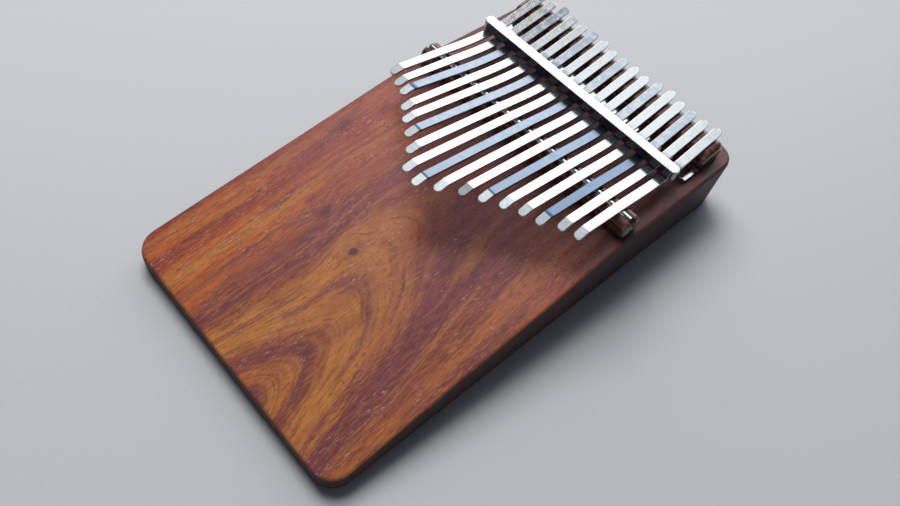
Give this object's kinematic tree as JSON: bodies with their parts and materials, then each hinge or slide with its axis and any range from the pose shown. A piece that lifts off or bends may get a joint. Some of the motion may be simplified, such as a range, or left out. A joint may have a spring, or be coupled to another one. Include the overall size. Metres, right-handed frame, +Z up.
{
  "type": "mbira",
  "caption": "Board mbira (thumb piano) with flat steel tines clamped over two bridges on a solid wedge-shaped hardwood board.",
  "frame": {"origin": "the middle of the board's flat underside, on the surface it rests on", "axes": "+Z up, +Y away from the player along the tines, +X to the player's right across the tines"},
  "size_m": [0.128, 0.2226, 0.047],
  "materials": {
    "rosewood": "satin lacquered, strongly figured",
    "dark_wood": "gloss lacquered",
    "polished_steel": "polished",
    "spring_steel": "lightly brushed",
    "blued_steel": "heat-blued, lightly brushed",
    "screw_steel": "plain"
  },
  "bodies": {
    "body": {"board": "rosewood", "front_bridge": "dark_wood", "front_rod": "polished_steel", "rear_bridge": "dark_wood", "rear_strip": "polished_steel", "pressure_bar": "polished_steel", "clamp_washer_1": "screw_steel", "clamp_washer_2": "screw_steel", "clamp_washer_3": "screw_steel", "clamp_washer_4": "screw_steel", "clamp_screw_1": "screw_steel", "clamp_screw_2": "screw_steel", "clamp_screw_3": "screw_steel", "clamp_screw_4": "screw_steel"},
    "tine_01_clamped": {"tine_01_shank": "spring_steel"},
    "tine_01_free": {"tine_01_tongue": "spring_steel"},
    "tine_02_clamped": {"tine_02_shank": "spring_steel"},
    "tine_02_free": {"tine_02_tongue": "spring_steel"},
    "tine_03_clamped": {"tine_03_shank": "blued_steel"},
    "tine_03_free": {"tine_03_tongue": "blued_steel"},
    "tine_04_clamped": {"tine_04_shank": "spring_steel"},
    "tine_04_free": {"tine_04_tongue": "spring_steel"},
    "tine_05_clamped": {"tine_05_shank": "spring_steel"},
    "tine_05_free": {"tine_05_tongue": "spring_steel"},
    "tine_06_clamped": {"tine_06_shank": "blued_steel"},
    "tine_06_free": {"tine_06_tongue": "blued_steel"},
    "tine_07_clamped": {"tine_07_shank": "spring_steel"},
    "tine_07_free": {"tine_07_tongue": "spring_steel"},
    "tine_08_clamped": {"tine_08_shank": "spring_steel"},
    "tine_08_free": {"tine_08_tongue": "spring_steel"},
    "tine_09_clamped": {"tine_09_shank": "blued_steel"},
    "tine_09_free": {"tine_09_tongue": "blued_steel"},
    "tine_10_clamped": {"tine_10_shank": "spring_steel"},
    "tine_10_free": {"tine_10_tongue": "spring_steel"},
    "tine_11_clamped": {"tine_11_shank": "spring_steel"},
    "tine_11_free": {"tine_11_tongue": "spring_steel"},
    "tine_12_clamped": {"tine_12_shank": "blued_steel"},
    "tine_12_free": {"tine_12_tongue": "blued_steel"},
    "tine_13_clamped": {"tine_13_shank": "spring_steel"},
    "tine_13_free": {"tine_13_tongue": "spring_steel"},
    "tine_14_clamped": {"tine_14_shank": "spring_steel"},
    "tine_14_free": {"tine_14_tongue": "spring_steel"},
    "tine_15_clamped": {"tine_15_shank": "blued_steel"},
    "tine_15_free": {"tine_15_tongue": "blued_steel"},
    "tine_16_clamped": {"tine_16_shank": "spring_steel"},
    "tine_16_free": {"tine_16_tongue": "spring_steel"},
    "tine_17_clamped": {"tine_17_shank": "spring_steel"},
    "tine_17_free": {"tine_17_tongue": "spring_steel"}
  },
  "joints": [
    {"name": "tine_01_tuning_slide", "type": "slide", "parent": "body", "child": "tine_01_clamped", "axis": [0, 1, 0], "range_m": [-0.0015, 0.0015]},
    {"name": "tine_01_pluck", "type": "hinge", "parent": "tine_01_clamped", "child": "tine_01_free", "pos_m": [-0.0528, 0.03495, 0.03911], "axis": [1, 0, 0], "range_deg": [-2, 3], "stiffness_Nm_per_rad": 10.16},
    {"name": "tine_02_tuning_slide", "type": "slide", "parent": "body", "child": "tine_02_clamped", "axis": [0, 1, 0], "range_m": [-0.0015, 0.0015]},
    {"name": "tine_02_pluck", "type": "hinge", "parent": "tine_02_clamped", "child": "tine_02_free", "pos_m": [-0.0462, 0.03495, 0.03911], "axis": [1, 0, 0], "range_deg": [-2, 3], "stiffness_Nm_per_rad": 9.02},
    {"name": "tine_03_tuning_slide", "type": "slide", "parent": "body", "child": "tine_03_clamped", "axis": [0, 1, 0], "range_m": [-0.0015, 0.0015]},
    {"name": "tine_03_pluck", "type": "hinge", "parent": "tine_03_clamped", "child": "tine_03_free", "pos_m": [-0.0396, 0.03495, 0.0392], "axis": [1, 0, 0], "range_deg": [-2, 3], "stiffness_Nm_per_rad": 8.26},
    {"name": "tine_04_tuning_slide", "type": "slide", "parent": "body", "child": "tine_04_clamped", "axis": [0, 1, 0], "range_m": [-0.0015, 0.0015]},
    {"name": "tine_04_pluck", "type": "hinge", "parent": "tine_04_clamped", "child": "tine_04_free", "pos_m": [-0.033, 0.03495, 0.03912], "axis": [1, 0, 0], "range_deg": [-2, 3], "stiffness_Nm_per_rad": 7.19},
    {"name": "tine_05_tuning_slide", "type": "slide", "parent": "body", "child": "tine_05_clamped", "axis": [0, 1, 0], "range_m": [-0.0015, 0.0015]},
    {"name": "tine_05_pluck", "type": "hinge", "parent": "tine_05_clamped", "child": "tine_05_free", "pos_m": [-0.0264, 0.03495, 0.03916], "axis": [1, 0, 0], "range_deg": [-2, 3], "stiffness_Nm_per_rad": 6.35},
    {"name": "tine_06_tuning_slide", "type": "slide", "parent": "body", "child": "tine_06_clamped", "axis": [0, 1, 0], "range_m": [-0.0015, 0.0015]},
    {"name": "tine_06_pluck", "type": "hinge", "parent": "tine_06_clamped", "child": "tine_06_free", "pos_m": [-0.0198, 0.03495, 0.03916], "axis": [1, 0, 0], "range_deg": [-2, 3], "stiffness_Nm_per_rad": 5.75},
    {"name": "tine_07_tuning_slide", "type": "slide", "parent": "body", "child": "tine_07_clamped", "axis": [0, 1, 0], "range_m": [-0.0015, 0.0015]},
    {"name": "tine_07_pluck", "type": "hinge", "parent": "tine_07_clamped", "child": "tine_07_free", "pos_m": [-0.0132, 0.03495, 0.03912], "axis": [1, 0, 0], "range_deg": [-2, 3], "stiffness_Nm_per_rad": 5.21},
    {"name": "tine_08_tuning_slide", "type": "slide", "parent": "body", "child": "tine_08_clamped", "axis": [0, 1, 0], "range_m": [-0.0015, 0.0015]},
    {"name": "tine_08_pluck", "type": "hinge", "parent": "tine_08_clamped", "child": "tine_08_free", "pos_m": [-0.0066, 0.03495, 0.03911], "axis": [1, 0, 0], "range_deg": [-2, 3], "stiffness_Nm_per_rad": 4.58},
    {"name": "tine_09_tuning_slide", "type": "slide", "parent": "body", "child": "tine_09_clamped", "axis": [0, 1, 0], "range_m": [-0.0015, 0.0015]},
    {"name": "tine_09_pluck", "type": "hinge", "parent": "tine_09_clamped", "child": "tine_09_free", "pos_m": [0, 0.03495, 0.03909], "axis": [1, 0, 0], "range_deg": [-2, 3], "stiffness_Nm_per_rad": 4.5},
    {"name": "tine_10_tuning_slide", "type": "slide", "parent": "body", "child": "tine_10_clamped", "axis": [0, 1, 0], "range_m": [-0.0015, 0.0015]},
    {"name": "tine_10_pluck", "type": "hinge", "parent": "tine_10_clamped", "child": "tine_10_free", "pos_m": [0.0066, 0.03495, 0.03908], "axis": [1, 0, 0], "range_deg": [-2, 3], "stiffness_Nm_per_rad": 4.94},
    {"name": "tine_11_tuning_slide", "type": "slide", "parent": "body", "child": "tine_11_clamped", "axis": [0, 1, 0], "range_m": [-0.0015, 0.0015]},
    {"name": "tine_11_pluck", "type": "hinge", "parent": "tine_11_clamped", "child": "tine_11_free", "pos_m": [0.0132, 0.03495, 0.03909], "axis": [1, 0, 0], "range_deg": [-2, 3], "stiffness_Nm_per_rad": 5.6},
    {"name": "tine_12_tuning_slide", "type": "slide", "parent": "body", "child": "tine_12_clamped", "axis": [0, 1, 0], "range_m": [-0.0015, 0.0015]},
    {"name": "tine_12_pluck", "type": "hinge", "parent": "tine_12_clamped", "child": "tine_12_free", "pos_m": [0.0198, 0.03495, 0.03909], "axis": [1, 0, 0], "range_deg": [-2, 3], "stiffness_Nm_per_rad": 6.15},
    {"name": "tine_13_tuning_slide", "type": "slide", "parent": "body", "child": "tine_13_clamped", "axis": [0, 1, 0], "range_m": [-0.0015, 0.0015]},
    {"name": "tine_13_pluck", "type": "hinge", "parent": "tine_13_clamped", "child": "tine_13_free", "pos_m": [0.0264, 0.03495, 0.03908], "axis": [1, 0, 0], "range_deg": [-2, 3], "stiffness_Nm_per_rad": 6.9},
    {"name": "tine_14_tuning_slide", "type": "slide", "parent": "body", "child": "tine_14_clamped", "axis": [0, 1, 0], "range_m": [-0.0015, 0.0015]},
    {"name": "tine_14_pluck", "type": "hinge", "parent": "tine_14_clamped", "child": "tine_14_free", "pos_m": [0.033, 0.03495, 0.03907], "axis": [1, 0, 0], "range_deg": [-2, 3], "stiffness_Nm_per_rad": 7.65},
    {"name": "tine_15_tuning_slide", "type": "slide", "parent": "body", "child": "tine_15_clamped", "axis": [0, 1, 0], "range_m": [-0.0015, 0.0015]},
    {"name": "tine_15_pluck", "type": "hinge", "parent": "tine_15_clamped", "child": "tine_15_free", "pos_m": [0.0396, 0.03495, 0.03906], "axis": [1, 0, 0], "range_deg": [-2, 3], "stiffness_Nm_per_rad": 8.31},
    {"name": "tine_16_tuning_slide", "type": "slide", "parent": "body", "child": "tine_16_clamped", "axis": [0, 1, 0], "range_m": [-0.0015, 0.0015]},
    {"name": "tine_16_pluck", "type": "hinge", "parent": "tine_16_clamped", "child": "tine_16_free", "pos_m": [0.0462, 0.03495, 0.03904], "axis": [1, 0, 0], "range_deg": [-2, 3], "stiffness_Nm_per_rad": 10.01},
    {"name": "tine_17_tuning_slide", "type": "slide", "parent": "body", "child": "tine_17_clamped", "axis": [0, 1, 0], "range_m": [-0.0015, 0.0015]},
    {"name": "tine_17_pluck", "type": "hinge", "parent": "tine_17_clamped", "child": "tine_17_free", "pos_m": [0.0528, 0.03495, 0.03905], "axis": [1, 0, 0], "range_deg": [-2, 3], "stiffness_Nm_per_rad": 10.89}
  ]
}
